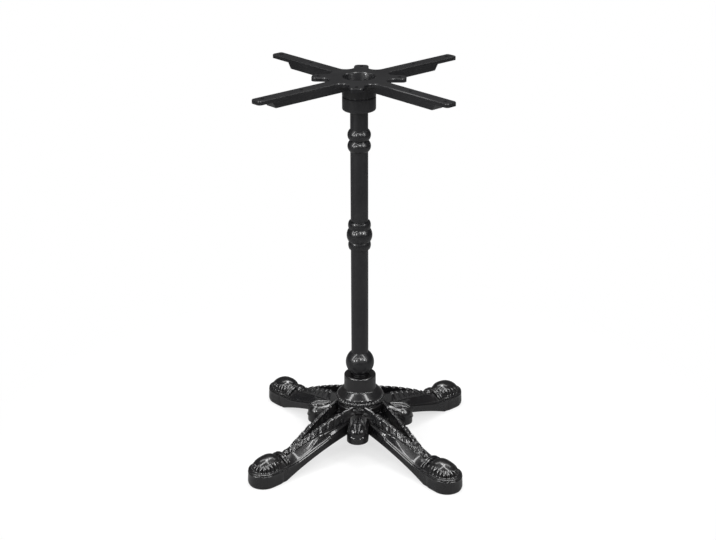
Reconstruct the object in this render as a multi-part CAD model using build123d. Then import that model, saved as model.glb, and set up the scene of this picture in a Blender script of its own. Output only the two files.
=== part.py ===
from build123d import *
import os
from math import atan2, degrees, sqrt

# Cast iron bistro table base: an ornate four-legged foot, a ringed column and a four-armed top spider.
# The three are iron castings.  One steel rod runs up the middle and clamps them together, with a washer
# and a nut in the spider's cup and another pair under the web of the foot's hub.
# Millimetres, +Z up, origin on the floor under the column.

# Overall
HEIGHT = 720.0  # floor to the spider's top face
COUNT = 4  # legs, lobes, arms and lugs
DIAGONAL = 45.0  # the legs and the arms stand on the diagonals, lobes and lugs between them

# Rod, washers and nuts
ROD_R = 6.0
ROD_CLEARANCE = 0.75  # between the rod and the holes it passes through
THREAD_CLEARANCE = 0.1  # between the rod and its nuts
ROD_PROUD = 3.0  # rod end past each nut
NUT_ACROSS_FLATS = 18.0
NUT_HEIGHT = 10.0
WASHER_R = 15.0
WASHER_THICKNESS = 2.5

# Top spider
SPIDER_DEPTH = 35.0  # top face to the seat on the column
ARM_REACH = 230.0
ARM_WIDTH = 24.0
ARM_CORNER = 6.0
ARM_DEPTH = 17.5
ARM_WALL = 5.0
PLATE_THICKNESS = 7.0
BACK_CHANNEL_REACH = 181.0  # where the deep part of the two back arms ends, under the plate
FRONT_CHANNEL_REACH = 202.0  # and of the two front arms
CHANNEL_SLANT = 7.0  # how far its end slants in on the way down
LUG_REACH = 83.0
LUG_WIDTH = 26.0
LUG_CORNER = 8.0
ROOT_FILLET = 14.0  # where arms and lugs part
PLATE_EDGE = 1.2
CUP_MOUTH_R = 28.5
CUP_FLOOR_R = 24.0
CUP_FLOOR_THICKNESS = 9.0
CUP_FLARE_R = 38.0  # the cup's outside, where it meets the plate
CUP_FLARE_HEIGHT = 8.0
SEAT_EDGE = 1.5  # slant either side of the joint with the column
SCREW_R = 3.25
TIP_SCREW_REACH = 214.0
MID_SCREW_REACH = 130.0
LUG_SCREW_REACH = 71.0

# Column
COLUMN_R = 16.0
COLUMN_BORE_R = 10.0
COLLAR_R = 30.0
COLLAR_HEIGHT = 25.0
COLLAR_EDGE = 3.5
RING_R = 21.0
RING_HEIGHT = 20.4
RING_NECK_R = 16.5
RING_DROP = 60.5  # column top to the upper ring
KNOT_RISE = 254.0  # hub top to the underside of the middle collar
KNOT_RING_R = 20.8
KNOT_RING_HEIGHT = 13.5
KNOT_BARREL_R = 23.5
KNOT_BARREL_HEIGHT = 25.0
KNOT_NECK_R = 19.5
BALL_R = 26.8
BALL_CLEARANCE = 2.5  # under the ball, over the hub's top

# Hub of the foot
HUB_TOP = 145.0
HUB_R = 30.0
HUB_NECK = 26.0  # plain length below the top
HUB_EDGE = 2.5
SOCKET_DEPTH = 15.0
SOCKET_CLEARANCE = 0.3
SOCKET_MOUTH = 1.5
HUB_WEB = 12.0  # iron between the socket and the nut
CHAMBER_R = 23.0  # room round the nut
DRUM_R = 43.0
DRUM_TOP = 105.0
ROPE_Z = 98.0  # twisted moulding round the drum
ROPE_R = 3.4
ROPE_HALF_HEIGHT = 4.5
ROPE_LEAN = 3.0  # how far a strand leans round the drum from its foot to its top
ROPE_COUNT = 36
ROPE_SIDES = 6
PLINTH_R = 46.0
PLINTH_TOP = 90.0
PLINTH_EDGE = 82.0
HUB_WALL = 7.0

# Legs: values at the hub's wall and at the ankle, straight in between
LEG_INNER_R = 12.0  # where a leg starts, inside the hub
LEG_ROOT_R = 45.0
LEG_ANKLE_R = 178.0
LEG_LAP = 14.0  # how far it runs into the foot
LEG_WALL = 5.0
SILL_HALF = 26.5  # half the width at the lower edge
SILL_ROOT_Z = 44.5
SILL_ANKLE_Z = 10.6
SILL_CAMBER = 3.5  # how far the lower edge arches up in the middle
BEAD_HALF = 24.0  # half the width at the side moulding
BEAD_ROOT_Z = 65.0
BEAD_ANKLE_Z = 28.0
SIDE_BEAD_R = 2.2
SIDE_BEAD_SIDES = 8
FLOOR_ROOT_HALF = 24.0  # the flat between the leaf borders
FLOOR_ANKLE_HALF = 8.0
FLOOR_ROOT_Z = 70.0
FLOOR_ANKLE_Z = 39.5
CREST_ROOT_HALF = 22.5  # the top of the leaf borders
CREST_ANKLE_HALF = 3.5
CREST_ROOT_Z = 94.5
CREST_ANKLE_Z = 42.0
CREST_CAMBER = 4.0  # how far the borders' top arches up in the middle
BORDER_TOP = 4.5  # thickness of a border at its top
BORDER_FOOT = 7.0  # and where it stands on the leg
GROOVE_COUNT = 7  # grooves that part the leaf's lobes
GROOVE_FIRST_R = 62.0
GROOVE_PITCH = 16.5
GROOVE_SLANT = 9.0  # how far a groove runs towards the foot on its way down
GROOVE_R = 3.4
GROOVE_SIDES = 4
PEARL_R = 8.0  # ball at the leaf's tip
PEARL_OUT = 4.0  # how far past the ankle it sits
BANDS_OUT = (13.5, 20.5)  # and the rings round the leg
BAND_LENGTH = 4.5
BAND_PROUD = 2.0

# Feet
FOOT_OUT = 50.0  # from the ankle to the middle of the shoe
SHOE_LENGTH_R = 37.0  # half length and half width of the shoe at its widest
SHOE_WIDTH_R = 29.0
SHOE_SOLE_IN = 2.5
SHOE_RIM_IN = 1.2
SHOE_BULGE_Z = 9.0
SHOE_RIM_Z = 26.5
SHOE_WALL = 6.0
DOME_BACK = 1.0  # how far the ball sits back on the shoe
DOME_R = 25.0
DOME_LENGTH_R = 31.0
DOME_Z = 27.0
HOLLOW_TOP = 40.0  # height of the hollow inside the foot
HOLLOW_DRAW = 12.0  # how far it narrows on its way up

# Lobes between the legs
LOBE_REACH = 80.0
LOBE_R = 20.0
LOBE_SILL_Z = 45.0
LOBE_SPRING_Z = 60.0  # where its upright wall turns into the round top
LOBE_WALL = 5.0
BUD_HALF = 8.0  # half the width of the leaf bud on a lobe
BUD_PROUD = 4.0
BUD_TIP_HALF = 3.0

# Places that follow
LEG_MIDDLE_R = (LEG_ROOT_R + LEG_ANKLE_R) / 2
PEARL_REACH = LEG_ANKLE_R + PEARL_OUT
BAND_REACHES = [LEG_ANKLE_R + out for out in BANDS_OUT]
FOOT_REACH = LEG_ANKLE_R + FOOT_OUT
DOME_REACH = FOOT_REACH - DOME_BACK
LEG_HEEL_R = FOOT_REACH - SHOE_LENGTH_R + LEG_LAP
SPIDER_SEAT = HEIGHT - SPIDER_DEPTH
CUP_FLOOR = SPIDER_SEAT + CUP_FLOOR_THICKNESS
COLUMN_FOOT = HUB_TOP - SOCKET_DEPTH
WEB_UNDERSIDE = COLUMN_FOOT - HUB_WEB
ROD_TOP = CUP_FLOOR + WASHER_THICKNESS + NUT_HEIGHT + ROD_PROUD
ROD_LOW = WEB_UNDERSIDE - WASHER_THICKNESS - NUT_HEIGHT - ROD_PROUD


def disc(radius, low, high):
    """Round bar on the axis between two heights."""
    return Pos(0, 0, low) * Cylinder(radius, high - low, align=(Align.CENTER, Align.CENTER, Align.MIN))


def turned(*points):
    """Solid of revolution from a profile of (radius, height) points."""
    return revolve(Plane.XZ * make_face(Polyline(*points, close=True)), Axis.Z)


def bulge(low, high, edge_r, crown_r):
    """Round moulding on the axis: its rim swells from edge_r to crown_r and back on one arc."""
    rim = ThreePointArc((edge_r, low), (crown_r, (low + high) / 2), (edge_r, high))
    inside = Polyline((edge_r, high), (0, high), (0, low), (edge_r, low))
    return revolve(Plane.XZ * make_face(rim + inside), Axis.Z)


def tapered(outline, height, draw):
    """Outline raised by a height and drawn in on the way up, or let out if the draw is negative."""
    return extrude(outline, height, taper=degrees(atan2(draw, height)))


def bar_between(start, end, radius, sides):
    """Bar with flat sides from one point to another."""
    start, end = Vector(*start), Vector(*end)
    run = end - start
    return extrude(Plane(start, z_dir=run) * RegularPolygon(radius, sides), run.length)


def all_round(piece, first=0.0):
    """The piece repeated round the axis."""
    return [Rot(Z=first + turn * 360.0 / COUNT) * piece for turn in range(COUNT)]


def tie_rod():
    """Rod that clamps the castings."""
    return disc(ROD_R, ROD_LOW, ROD_TOP)


def washer(low):
    """Plain washer lying on a height."""
    return disc(WASHER_R, low, low + WASHER_THICKNESS) - disc(
        ROD_R + ROD_CLEARANCE, low, low + WASHER_THICKNESS
    )


def nut(low):
    """Hexagon nut standing on a height."""
    hexagon = RegularPolygon(NUT_ACROSS_FLATS / 2, 6, major_radius=False)
    body = extrude(Pos(0, 0, low) * hexagon, NUT_HEIGHT)
    return body - disc(ROD_R + THREAD_CLEARANCE, low, low + NUT_HEIGHT)


def column():
    """Hollow column with its collar, rings and ball."""
    ring_top = SPIDER_SEAT - RING_DROP
    knot = HUB_TOP + KNOT_RISE
    barrel = knot + KNOT_RING_HEIGHT
    upper_ring = barrel + KNOT_BARREL_HEIGHT
    ball_low = HUB_TOP + BALL_CLEARANCE
    ball_height = 2 * sqrt(BALL_R**2 - COLUMN_R**2)
    body = disc(COLUMN_R, COLUMN_FOOT, SPIDER_SEAT)
    body += [
        bulge(ring_top - RING_HEIGHT, ring_top, RING_NECK_R, RING_R),
        bulge(ring_top - 2 * RING_HEIGHT, ring_top - RING_HEIGHT, RING_NECK_R, RING_R),
        bulge(knot, barrel, KNOT_NECK_R, KNOT_RING_R),
        bulge(barrel, upper_ring, KNOT_NECK_R, KNOT_BARREL_R),
        bulge(upper_ring, upper_ring + KNOT_RING_HEIGHT, KNOT_NECK_R, KNOT_RING_R),
        bulge(ball_low, ball_low + ball_height, COLUMN_R, BALL_R),
    ]
    collar = disc(COLLAR_R, SPIDER_SEAT - COLLAR_HEIGHT, SPIDER_SEAT)
    rims = collar.edges().filter_by(GeomType.CIRCLE).sort_by(Axis.Z)
    collar = chamfer(rims[-1], SEAT_EDGE)
    rims = collar.edges().filter_by(GeomType.CIRCLE).sort_by(Axis.Z)
    body += fillet(rims[0], COLLAR_EDGE)
    return body - disc(COLUMN_BORE_R, COLUMN_FOOT, SPIDER_SEAT)


def spider_plate():
    """Flat top of the spider: arms, lugs and the web between them, with rounded edges."""
    outline = Sketch()
    for turn in range(COUNT // 2):
        angle = turn * 360.0 / COUNT
        outline += Rot(Z=DIAGONAL + angle) * RectangleRounded(2 * ARM_REACH, ARM_WIDTH, ARM_CORNER)
        outline += Rot(Z=angle) * RectangleRounded(2 * LUG_REACH, LUG_WIDTH, LUG_CORNER)
    plate = extrude(Pos(0, 0, HEIGHT - PLATE_THICKNESS) * outline, PLATE_THICKNESS)
    inner_corners = plate.edges().filter_by(Axis.Z).sort_by_distance((0, 0, HEIGHT))[: 2 * COUNT]
    plate = fillet(inner_corners, ROOT_FILLET)
    return chamfer(plate.faces().sort_by(Axis.Z)[-1].edges(), PLATE_EDGE)


def arm_block(reach, half):
    """Bar under one arm down to its full depth, with a slanted end."""
    low, high = HEIGHT - ARM_DEPTH, HEIGHT - PLATE_THICKNESS
    side = Polyline((0, high), (reach, high), (reach - CHANNEL_SLANT, low), (0, low), close=True)
    return extrude(Plane.XZ * make_face(side), half, both=True)


def arm_channel(reach):
    """Two side walls under one arm and the slanted wall that closes their end."""
    return arm_block(reach, ARM_WIDTH / 2) - arm_block(reach - ARM_WALL, ARM_WIDTH / 2 - ARM_WALL)


def arm_channels():
    """The deep parts of the four arms, the two back ones first."""
    reaches = [BACK_CHANNEL_REACH] * 2 + [FRONT_CHANNEL_REACH] * 2
    return [
        Rot(Z=DIAGONAL + turn * 360.0 / COUNT) * arm_channel(reach) for turn, reach in enumerate(reaches)
    ]


def top_spider():
    """Four-armed casting that carries the table top."""
    under_plate = HEIGHT - PLATE_THICKNESS
    hub = turned(
        (0, SPIDER_SEAT),
        (COLLAR_R - SEAT_EDGE, SPIDER_SEAT),
        (COLLAR_R, SPIDER_SEAT + SEAT_EDGE),
        (COLLAR_R, under_plate - CUP_FLARE_HEIGHT),
        (CUP_FLARE_R, under_plate),
        (0, under_plate),
    )
    cup = turned(
        (0, CUP_FLOOR),
        (CUP_FLOOR_R, CUP_FLOOR),
        (CUP_MOUTH_R, HEIGHT - PLATE_EDGE),
        (CUP_MOUTH_R + PLATE_EDGE, HEIGHT),
        (0, HEIGHT),
    )
    body = spider_plate() + hub + arm_channels()
    body -= cup
    body -= disc(ROD_R + ROD_CLEARANCE, SPIDER_SEAT, CUP_FLOOR)
    drill = disc(SCREW_R, HEIGHT - PLATE_THICKNESS, HEIGHT)
    for reach in (TIP_SCREW_REACH, MID_SCREW_REACH):
        body -= all_round(Pos(reach, 0, 0) * drill, DIAGONAL)
    return body - all_round(Pos(LUG_SCREW_REACH, 0, 0) * drill)


def leg_share(reach):
    """How far a reach lies on the way from the hub's wall to the ankle."""
    return (reach - LEG_ROOT_R) / (LEG_ANKLE_R - LEG_ROOT_R)


def along_leg(reach, root, ankle):
    """Value at a reach, on a straight line from the hub's wall to the ankle and level past it."""
    return root + (ankle - root) * min(leg_share(reach), 1.0)


def arched(reach, root, ankle, camber):
    """Value at a reach on a curve from the hub's wall through the ankle, raised by a camber between."""
    share = leg_share(reach)
    return root + (ankle - root) * share + 4 * camber * share * (1 - share)


def across_leg(reach, outline):
    """Face across the leg at one reach, from (sideways, height) points."""
    plane = Plane((reach, 0, 0), x_dir=(0, 1, 0), z_dir=(1, 0, 0))
    return plane * make_face(Polyline(*outline, close=True))


def leg_section(reach, inset=0.0):
    """The leg's outline across its run.  An inset draws the walls and the top in and the foot down."""
    half = [
        (SILL_HALF - inset, arched(reach, SILL_ROOT_Z, SILL_ANKLE_Z, SILL_CAMBER) - 2 * inset),
        (BEAD_HALF - inset, along_leg(reach, BEAD_ROOT_Z, BEAD_ANKLE_Z) - inset / 2),
        (
            along_leg(reach, FLOOR_ROOT_HALF, FLOOR_ANKLE_HALF) - inset / 2,
            along_leg(reach, FLOOR_ROOT_Z, FLOOR_ANKLE_Z) - inset,
        ),
    ]
    return across_leg(reach, half + [(-side, height) for side, height in reversed(half)])


def leg_run(inset=0.0):
    """The leg's body from inside the hub to inside the foot."""
    reaches = (LEG_INNER_R, LEG_ROOT_R, LEG_MIDDLE_R, LEG_ANKLE_R, LEG_HEEL_R)
    return loft([leg_section(reach, inset) for reach in reaches], ruled=True)


def border_points(reach):
    """Outline of one leaf border across its run: out along the foot, over the crest and back."""
    floor_half = along_leg(reach, FLOOR_ROOT_HALF, FLOOR_ANKLE_HALF)
    floor = along_leg(reach, FLOOR_ROOT_Z, FLOOR_ANKLE_Z) - LEG_WALL / 2
    crest_half = along_leg(reach, CREST_ROOT_HALF, CREST_ANKLE_HALF)
    crest = arched(reach, CREST_ROOT_Z, CREST_ANKLE_Z, CREST_CAMBER)
    return [
        (floor_half, floor),
        (crest_half, crest),
        (crest_half - BORDER_TOP, crest),
        (floor_half - BORDER_FOOT, floor),
    ]


def leaf_border():
    """Raised border of the leaf on one side of the leg, grooved into lobes."""
    reaches = (LEG_ROOT_R - BORDER_FOOT, LEG_MIDDLE_R, LEG_ANKLE_R)
    wall = loft([across_leg(reach, border_points(reach)) for reach in reaches], ruled=True)
    for groove in range(GROOVE_COUNT):
        reach = GROOVE_FIRST_R + groove * GROOVE_PITCH
        top_half, top = border_points(reach)[1]
        low_half, low = border_points(reach + GROOVE_SLANT)[0]
        out = GROOVE_R / 2
        crest = Vector(reach, top_half + out, top + out)
        foot = Vector(reach + GROOVE_SLANT, low_half + out, low)
        run = (foot - crest).normalized() * (2 * GROOVE_R)
        wall -= bar_between(crest - run, foot, GROOVE_R, GROOVE_SIDES)
    return wall


def side_bead():
    """Round moulding along one side of the leg, dropping to the ankle and then level to the foot."""
    start = LEG_MIDDLE_R - GROOVE_PITCH
    middle = (start, BEAD_HALF, along_leg(start, BEAD_ROOT_Z, BEAD_ANKLE_Z))
    ankle = (LEG_ANKLE_R, BEAD_HALF, BEAD_ANKLE_Z)
    heel = (LEG_HEEL_R, BEAD_HALF, BEAD_ANKLE_Z)
    return bar_between(middle, ankle, SIDE_BEAD_R, SIDE_BEAD_SIDES) + bar_between(
        ankle, heel, SIDE_BEAD_R, SIDE_BEAD_SIDES
    )


def ankle():
    """Pearl at the leaf's tip and the rings round the leg before the foot."""
    body = Pos(PEARL_REACH, 0, FLOOR_ANKLE_Z) * Sphere(PEARL_R)
    half = [
        (BEAD_HALF + BAND_PROUD / 2, BEAD_ANKLE_Z),
        (FLOOR_ANKLE_HALF + BAND_PROUD, FLOOR_ANKLE_Z + BAND_PROUD),
    ]
    outline = half + [(-side, height) for side, height in reversed(half)]
    for reach in BAND_REACHES:
        body += extrude(across_leg(reach - BAND_LENGTH / 2, outline), BAND_LENGTH)
    return body


def shoe_outline(height, draw):
    """Outline of the shoe at a height, drawn in all round."""
    slot = SlotOverall(2 * (SHOE_LENGTH_R - draw), 2 * (SHOE_WIDTH_R - draw))
    return Pos(FOOT_REACH, 0, height) * slot


def shoe():
    """Plain shoe under the foot: widest low down and drawn in towards the sole and the rim."""
    low = tapered(shoe_outline(0, SHOE_SOLE_IN), SHOE_BULGE_Z, -SHOE_SOLE_IN)
    return low + tapered(shoe_outline(SHOE_BULGE_Z, 0), SHOE_RIM_Z - SHOE_BULGE_Z, SHOE_RIM_IN)


def foot_hollow():
    """What the core leaves open in the foot, narrowing under the ball."""
    return tapered(shoe_outline(0, SHOE_SOLE_IN + SHOE_WALL), HOLLOW_TOP, HOLLOW_DRAW)


def dome():
    """Ball of the foot: two half balls with a short straight stretch between them along the leg."""
    shoulder = DOME_LENGTH_R - DOME_R
    outline = (
        CenterArc((shoulder, 0), DOME_R, 0, 90)
        + Line((shoulder, DOME_R), (-shoulder, DOME_R))
        + CenterArc((-shoulder, 0), DOME_R, 90, 90)
        + Line((-DOME_LENGTH_R, 0), (DOME_LENGTH_R, 0))
    )
    return Pos(DOME_REACH, 0, DOME_Z) * revolve(make_face(outline), Axis.X)


def leg():
    """One leg and its foot, solid."""
    side = leaf_border() + side_bead()
    return leg_run() + side + mirror(side, Plane.XZ) + ankle() + shoe() + dome()


def leg_hollow():
    """What the core leaves open under one leg and its foot."""
    return leg_run(LEG_WALL) + foot_hollow()


def lobe_top(reach):
    """Height of the lobe's crown: level from the hub, then falling round the nose."""
    return LOBE_SPRING_Z + sqrt(LOBE_R**2 - max(reach - LOBE_REACH, 0.0) ** 2)


def bud_section(reach, half):
    """Outline across the leaf bud at one reach: a low roof standing on the lobe."""
    foot = lobe_top(reach) - BUD_PROUD
    eaves = foot + BUD_PROUD
    return across_leg(
        reach, [(-half, foot), (-half, eaves), (0, eaves + BUD_PROUD), (half, eaves), (half, foot)]
    )


def bud():
    """Leaf bud that lies on a lobe from the hub to its tip over the nose."""
    stations = (
        (PLINTH_R - BUD_PROUD, BUD_TIP_HALF),
        (LOBE_REACH, BUD_HALF),
        (LOBE_REACH + LOBE_R - BUD_PROUD, BUD_TIP_HALF),
    )
    return loft([bud_section(reach, half) for reach, half in stations], ruled=True)


def vault(radius):
    """Arched body from inside the hub with a round end, standing on the lobe's lower edge."""
    arc = CenterArc((0, LOBE_SPRING_Z), radius, 0, 180)
    arch = make_face(arc + Polyline(arc @ 1, (-radius, LOBE_SILL_Z), (radius, LOBE_SILL_Z), arc @ 0))
    plane = Plane((LEG_INNER_R, 0, 0), x_dir=(0, 1, 0), z_dir=(1, 0, 0))
    nose = split(arch, Plane.YZ)
    end = Pos(LOBE_REACH, 0, 0) * revolve(Plane.XZ * nose, Axis.Z)
    return extrude(plane * arch, LOBE_REACH - LEG_INNER_R) + end


def lobe():
    """Rounded lobe that fills the corner between two legs, with its leaf bud."""
    return vault(LOBE_R) + bud()


def lobe_hollow():
    """What the core leaves open under one lobe."""
    return vault(LOBE_R - LOBE_WALL)


def hub():
    """Turned middle of the foot: neck, drum with its bead ring, and plinth."""
    body = turned(
        (0, LOBE_SILL_Z),
        (DRUM_R, LOBE_SILL_Z),
        (DRUM_R, PLINTH_EDGE),
        (PLINTH_R, PLINTH_EDGE),
        (PLINTH_R, PLINTH_TOP),
        (DRUM_R, PLINTH_TOP),
        (DRUM_R, DRUM_TOP),
        (HUB_R, HUB_TOP - HUB_NECK),
        (HUB_R, HUB_TOP - HUB_EDGE),
        (HUB_R - HUB_EDGE, HUB_TOP),
        (0, HUB_TOP),
    )
    strand = bar_between(
        (DRUM_R, -ROPE_LEAN, ROPE_Z - ROPE_HALF_HEIGHT),
        (DRUM_R, ROPE_LEAN, ROPE_Z + ROPE_HALF_HEIGHT),
        ROPE_R,
        ROPE_SIDES,
    )
    return body + [Rot(Z=360.0 * turn / ROPE_COUNT) * strand for turn in range(ROPE_COUNT)]


def hub_hollow():
    """Socket for the column, rod hole, nut chamber and the room under the drum."""
    socket_r = COLUMN_R + SOCKET_CLEARANCE
    return turned(
        (0, LOBE_SILL_Z),
        (DRUM_R - HUB_WALL, LOBE_SILL_Z),
        (DRUM_R - HUB_WALL, DRUM_TOP - HUB_WALL),
        (CHAMBER_R, HUB_TOP - HUB_NECK - HUB_WALL),
        (CHAMBER_R, WEB_UNDERSIDE),
        (ROD_R + ROD_CLEARANCE, WEB_UNDERSIDE),
        (ROD_R + ROD_CLEARANCE, COLUMN_FOOT),
        (socket_r, COLUMN_FOOT),
        (socket_r, HUB_TOP - SOCKET_MOUTH),
        (socket_r + SOCKET_MOUTH, HUB_TOP),
        (0, HUB_TOP),
    )


def base_casting():
    """The foot: hub, legs, feet and lobes in one casting, cored out from below."""
    body = hub() + all_round(leg(), DIAGONAL) + all_round(lobe())
    return body - all_round(leg_hollow(), DIAGONAL) - all_round(lobe_hollow()) - hub_hollow()


PIECES = {
    "base_casting": base_casting(),
    "column": column(),
    "top_spider": top_spider(),
    "tie_rod": tie_rod(),
    "top_washer": washer(CUP_FLOOR),
    "top_nut": nut(CUP_FLOOR + WASHER_THICKNESS),
    "bottom_washer": washer(WEB_UNDERSIDE - WASHER_THICKNESS),
    "bottom_nut": nut(WEB_UNDERSIDE - WASHER_THICKNESS - NUT_HEIGHT),
}

os.makedirs("parts", exist_ok=True)
for name, piece in PIECES.items():
    export_step(piece, f"parts/{name}.step")
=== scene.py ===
"""Cast iron table base, dressed for pictures.

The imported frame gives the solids.  The foot and the column are worked out again as fine surfaces,
with the leaf carving and the mouldings; the spider, the rod, the washers and the nuts keep their
solids and get a finish.  Lengths of the part are millimetres; meshes, lamps and floor are metres.
"""

from __future__ import annotations

import logging
from dataclasses import dataclass
from enum import Enum
from typing import Any, Mapping, Sequence

import bmesh
import bpy
import numpy as np
from mathutils import Euler, Matrix, Vector

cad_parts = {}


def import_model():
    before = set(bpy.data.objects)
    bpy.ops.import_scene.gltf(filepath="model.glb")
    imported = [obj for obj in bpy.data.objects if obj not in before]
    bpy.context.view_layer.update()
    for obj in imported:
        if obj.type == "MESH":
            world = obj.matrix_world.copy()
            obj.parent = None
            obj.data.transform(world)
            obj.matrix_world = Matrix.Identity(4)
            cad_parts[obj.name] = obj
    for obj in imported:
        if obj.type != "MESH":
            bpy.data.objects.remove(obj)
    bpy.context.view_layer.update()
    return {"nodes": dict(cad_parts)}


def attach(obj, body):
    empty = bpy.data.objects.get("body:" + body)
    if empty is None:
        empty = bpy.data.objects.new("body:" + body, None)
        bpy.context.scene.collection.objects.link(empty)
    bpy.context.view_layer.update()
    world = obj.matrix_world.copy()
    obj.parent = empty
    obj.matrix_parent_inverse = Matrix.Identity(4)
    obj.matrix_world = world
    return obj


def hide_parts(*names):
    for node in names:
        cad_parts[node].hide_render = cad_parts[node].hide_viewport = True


LOG = logging.getLogger("table_base")
MM = 0.001
BODY = "root"
LEG_ANGLES = (45.0, 135.0, 225.0, 315.0)
LOBE_ANGLES = (0.0, 90.0, 180.0, 270.0)
SHARP_ANGLE = np.radians(38.0)
MERGE_DISTANCE = 0.002
LEAST_NORMAL = 1e-9
LEAST_LENGTH = 1e-6


class Slot(Enum):
    """Material slots of the record."""

    GLOSS = "gloss_black_iron"
    SATIN = "satin_black_iron"
    ZINC = "zinc_steel"


def ramp(value: np.ndarray, low: float, high: float) -> np.ndarray:
    """Smooth step from 0 at low to 1 at high.

    Args:
        value: numbers to step.
        low: where the step starts.
        high: where it ends.

    Returns:
        The steps, of the same shape.
    """
    share = np.clip((value - low) / (high - low), 0.0, 1.0)
    return share * share * (3.0 - 2.0 * share)


def hump(value: np.ndarray, centre: np.ndarray | float, width: float) -> np.ndarray:
    """Bell curve of height 1 round a centre.

    Args:
        value: numbers to raise.
        centre: where the bell stands.
        width: distance at which it has fallen to about a third.

    Returns:
        The heights, of the same shape.
    """
    return np.exp(-(((value - centre) / width) ** 2))


@dataclass
class Surface:
    """Grid of points, as rows by columns, that may close on itself across its columns."""

    points: np.ndarray
    closed: bool = True

    def turned(self, degrees: float) -> "Surface":
        """The surface turned about the upright axis.

        Args:
            degrees: angle, anticlockwise from above.

        Returns:
            A new surface.
        """
        cosine, sine = np.cos(np.radians(degrees)), np.sin(np.radians(degrees))
        turn = np.array([[cosine, sine, 0.0], [-sine, cosine, 0.0], [0.0, 0.0, 1.0]])
        return Surface(self.points @ turn, self.closed)

    def floored(self) -> "Surface":
        """The surface with its last row drawn together to its middle."""
        row = self.points[-1:]
        last = np.broadcast_to(row.mean(axis=1, keepdims=True), row.shape)
        return Surface(np.concatenate([self.points, last]), self.closed)

    def capped(self) -> "Surface":
        """The surface with its first and last rows each drawn together to their middles."""
        row = self.points[:1]
        first = np.broadcast_to(row.mean(axis=1, keepdims=True), row.shape)
        return Surface(np.concatenate([first, self.points]), self.closed).floored()

    def raised(self, height: np.ndarray) -> "Surface":
        """The surface moved along its normals: cross products of the grid's two directions.

        Args:
            height: distance at each point, in millimetres.

        Returns:
            A new surface.
        """
        wrapped = self.points
        if self.closed:
            ends = self.points[:, -1:], self.points[:, :1]
            wrapped = np.concatenate([ends[0], self.points, ends[1]], axis=1)
        along = np.gradient(wrapped, axis=0)
        across = np.gradient(wrapped, axis=1)
        normal = np.cross(along, across)
        if self.closed:
            normal = normal[:, 1:-1]
        length = np.maximum(np.linalg.norm(normal, axis=-1, keepdims=True), LEAST_NORMAL)
        return Surface(self.points + normal / length * height[..., None], self.closed)

    def corners(self) -> np.ndarray:
        """Numbers of the four corner points of each square of the grid."""
        rows, columns = self.points.shape[:2]
        number = np.arange(rows * columns).reshape(rows, columns)
        if self.closed:
            number = np.concatenate([number, number[:, :1]], axis=1)
        square = (number[:-1, :-1], number[:-1, 1:], number[1:, 1:], number[1:, :-1])
        return np.stack(square, axis=-1).reshape(-1, 4)


def lathe(profile: np.ndarray, sides: int) -> Surface:
    """Surface of revolution: the profile's radius times the angle's cosine and sine, at its height.

    Args:
        profile: (radius, height) points, in a closed run that starts and ends on the same point.
        sides: number of steps round the axis.

    Returns:
        A grid with the profile down its rows.
    """
    angle = np.linspace(0.0, 2.0 * np.pi, sides, endpoint=False)
    radius, height = profile[:, :1], profile[:, 1:]
    upright = np.broadcast_to(height, (len(profile), sides))
    return Surface(np.stack([radius * np.cos(angle), radius * np.sin(angle), upright], axis=-1))


class Profile:
    """Outline that grows point by point from straight runs and shallow arcs."""

    def __init__(self, *start: float) -> None:
        """Starts the outline at a point."""
        self.runs: list[np.ndarray] = [np.array([start])]

    def line(self, *points: tuple[float, float]) -> "Profile":
        """Adds straight runs to each point in turn."""
        self.runs.append(np.array(points))
        return self

    def arc(self, end: tuple[float, float], swell: float, steps: int = 12) -> "Profile":
        """Adds a round run: a straight one pushed sideways by a circle's arc of a given height.

        Args:
            end: last point of the run.
            swell: height of the arc, to the right of the way it goes.
            steps: number of points.

        Returns:
            The outline itself.
        """
        start = self.runs[-1][-1]
        run = np.array(end) - start
        half = np.hypot(*run) / 2.0
        radius = (half**2 + swell**2) / (2.0 * abs(swell))
        share = np.linspace(-1.0, 1.0, steps + 1)[1:, None]
        limit = np.arcsin(np.clip(half / radius, -1.0, 1.0))
        if abs(swell) > half:
            limit = np.pi - limit
        turn = share * limit
        along = np.sin(turn) * radius / (2.0 * half) + 0.5
        aside = (np.cos(turn) - np.cos(limit)) * radius * np.sign(swell)
        normal = np.array([run[1], -run[0]]) / (2.0 * half)
        self.runs.append(start + along * run + aside * normal)
        return self

    def points(self) -> np.ndarray:
        """All points of the outline, in order."""
        return np.concatenate(self.runs)


class Value:
    """Shader number that can be used in sums: each operator adds a Math node."""

    def __init__(self, tree: "ShaderTree", socket: Any) -> None:
        """Wraps a socket of a tree."""
        self.tree = tree
        self.socket = socket

    def _math(self, operation: str, first: Any, second: Any) -> "Value":
        """Adds one Math node and wraps its result."""
        node = self.tree.node("ShaderNodeMath", {"operation": operation}, {0: first, 1: second})
        return Value(self.tree, node.outputs[0])

    def __add__(self, other: Any) -> "Value":
        """Sum."""
        return self._math("ADD", self, other)

    __radd__ = __add__

    def __sub__(self, other: Any) -> "Value":
        """Difference."""
        return self._math("SUBTRACT", self, other)

    def __rsub__(self, other: Any) -> "Value":
        """Difference the other way round."""
        return self._math("SUBTRACT", other, self)

    def __mul__(self, other: Any) -> "Value":
        """Product."""
        return self._math("MULTIPLY", self, other)

    __rmul__ = __mul__

    def largest(self, other: Any) -> "Value":
        """The larger of two numbers."""
        return self._math("MAXIMUM", self, other)


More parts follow.
